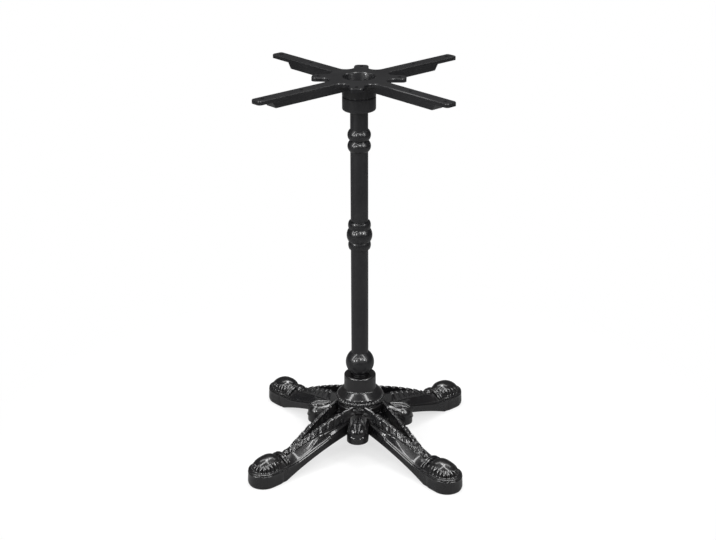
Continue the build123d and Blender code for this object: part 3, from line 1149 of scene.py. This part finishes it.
@dataclass(frozen=True)
class Studio:
    """Pale floor, white surroundings and crisp lamps."""

    floor_half: float = 12.0
    floor_share: float = 0.3
    floor_dim: float = 0.8
    floor_grey: float = 0.86
    shadow_start: float = 0.35
    shadow_end: float = 0.75
    surround: float = 0.15
    reflected: float = 0.06
    lamps: tuple[Lamp, ...] = (
        Lamp("low_left_lamp", (-2.05, -1.9, 0.85), (-2.05, -1.75, 1.45), 0.3, 26.0),
        Lamp("front_left_lamp", (-1.12, -2.45, 1.3), (-1.12, -2.3, 1.9), 0.26, 26.0),
        Lamp("front_lamp", (0.55, -2.35, 1.75), (0.55, -2.2, 2.35), 0.3, 26.0),
        Lamp("front_right_lamp", (1.8, -1.9, 1.45), (1.8, -1.75, 2.05), 0.26, 26.0),
        Lamp("front_strip", (-2.6, -2.0, 2.6), (2.6, -2.0, 2.6), 0.08, 20.0),
        Lamp("left_lamp", (-2.25, -1.02, 0.87), (-0.44, -0.07, 2.87), 0.3, 8.0),
        Lamp("right_lamp", (2.1, -1.2, 1.0), (0.14, -0.08, 2.91), 0.3, 8.0),
        Lamp("top_lamp", (-0.5, 0.55, 2.9), (0.4, 0.55, 2.9), 1.1, 9.0),
        Lamp("ceiling_lamp", (-2.3, 1.2, 2.9), (2.1, 1.2, 2.9), 0.7, 2.8),
    )

    @staticmethod
    def rays(shader: ShaderTree) -> tuple[Value, Value]:
        """Which rays ask: 1 for the camera or through glass, and 1 off a gloss.

        Args:
            shader: tree that gets the nodes.

        Returns:
            Both numbers.
        """
        path = shader.node("ShaderNodeLightPath", {}, {})
        camera = Value(shader, path.outputs["Is Camera Ray"])
        seen = camera.largest(path.outputs["Is Transmission Ray"])
        return seen, Value(shader, path.outputs["Is Glossy Ray"])

    def world(self) -> None:
        """White for the camera, softer for gloss and plain light."""
        world = bpy.data.worlds.new("surroundings")
        bpy.context.scene.world = world
        shader = ShaderTree(world)
        seen, glossy = self.rays(shader)
        level = seen.largest(self.surround + (self.reflected - self.surround) * glossy)
        sky = shader.node("ShaderNodeBackground", {}, {"Color": level, "Strength": 1.0})
        shader.node("ShaderNodeOutputWorld", {}, {"Surface": sky.outputs["Background"]})

    def floor(self) -> None:
        """Pale floor: paint under the lamps, mostly white to the camera, with a soft shadow."""
        half, grey = self.floor_half, self.floor_grey
        mesh = bpy.data.meshes.new("floor")
        corners = [(-half, -half, 0), (half, -half, 0), (half, half, 0), (-half, half, 0)]
        mesh.from_pydata(corners, [], [(0, 1, 2, 3)])
        floor = bpy.data.objects.new("floor", mesh)
        bpy.context.scene.collection.objects.link(floor)
        material = bpy.data.materials.new("pale_floor")
        shader = ShaderTree(material)
        seen, glossy = self.rays(shader)
        paint = shader.node("ShaderNodeBsdfDiffuse", {}, {"Color": (grey, grey, grey, 1.0)})
        glow = shader.node("ShaderNodeEmission", {}, {"Color": seen, "Strength": 1.0})
        place = shader.node("ShaderNodeTexCoord", {}, {}).outputs["Object"]
        away = shader.value("ShaderNodeVectorMath", {"operation": "LENGTH"}, {0: place}, "Value")
        fade = shader.value(
            "ShaderNodeMapRange",
            {"interpolation_type": "SMOOTHSTEP"},
            {
                "Value": away,
                1: self.shadow_start,
                2: self.shadow_end,
                3: self.floor_share,
                4: 0.0,
            },
        )
        share = seen * (1.0 - fade) + glossy * self.floor_dim
        shades = {1: paint.outputs["BSDF"], 2: glow.outputs["Emission"]}
        mix = shader.node("ShaderNodeMixShader", {}, {"Fac": share, **shades})
        shader.node("ShaderNodeOutputMaterial", {}, {"Surface": mix.outputs["Shader"]})
        mesh.materials.append(material)

    def build(self) -> None:
        """Adds floor, surroundings and lamps."""
        self.world()
        self.floor()
        for lamp in self.lamps:
            lamp.build()
        bpy.context.scene.view_settings.view_transform = "Standard"


@dataclass(frozen=True)
class Camera:
    """Camera at the photograph's viewing angle, looking down at the part from the front."""

    azimuth: float = 3.5
    distance: float = 2494.0
    height: float = 1376.0
    pitch: float = 22.26
    roll: float = -0.22
    aside: float = -3.0
    lens: float = 73.72
    sensor: float = 36.0

    def build(self) -> None:
        """Adds the camera and makes it the scene's own."""
        data = bpy.data.cameras.new("camera")
        data.lens, data.sensor_width = self.lens, self.sensor
        camera = bpy.data.objects.new("camera", data)
        turn = np.radians(self.azimuth)
        camera.location = (
            MM * (self.distance * np.sin(turn) + self.aside * np.cos(turn)),
            MM * (-self.distance * np.cos(turn) + self.aside * np.sin(turn)),
            MM * self.height,
        )
        look = Euler((np.radians(90.0 - self.pitch), 0.0, turn), "XYZ").to_matrix()
        roll = Euler((0.0, 0.0, np.radians(self.roll))).to_matrix()
        camera.rotation_euler = (look @ roll).to_euler()
        bpy.context.scene.collection.objects.link(camera)
        bpy.context.scene.camera = camera


def dress(nodes: Mapping[str, Any], names: Sequence[str], finish: Any) -> None:
    """Gives solids that stay as they are a finish.

    Args:
        nodes: the frame's solids by name.
        names: which of them to dress.
        finish: the material.
    """
    for name in names:
        thing = nodes[name]
        thing.data.materials.clear()
        thing.data.materials.append(finish)
        LOG.info("%s: dressed", name)


def main() -> None:
    """Builds the part's pieces, the studio and the camera."""
    logging.basicConfig(level=logging.INFO)
    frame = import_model()
    gloss, satin, zinc = GLOSS_PAINT.material(), SATIN_PAINT.material(), ZINC_PLATE.material()
    FootCasting(Hub(), LeafLeg(), BallFoot(), BudLobe()).build(gloss)
    Piece("turned_column", [Column().surface()]).build(satin, Slot.SATIN, "column")
    dress(frame["nodes"], ("top_spider",), satin)
    fasteners = ("tie_rod", "top_washer", "top_nut", "bottom_washer", "bottom_nut")
    dress(frame["nodes"], fasteners, zinc)
    Studio().build()
    Camera().build()


if __name__ == "__main__":
    main()
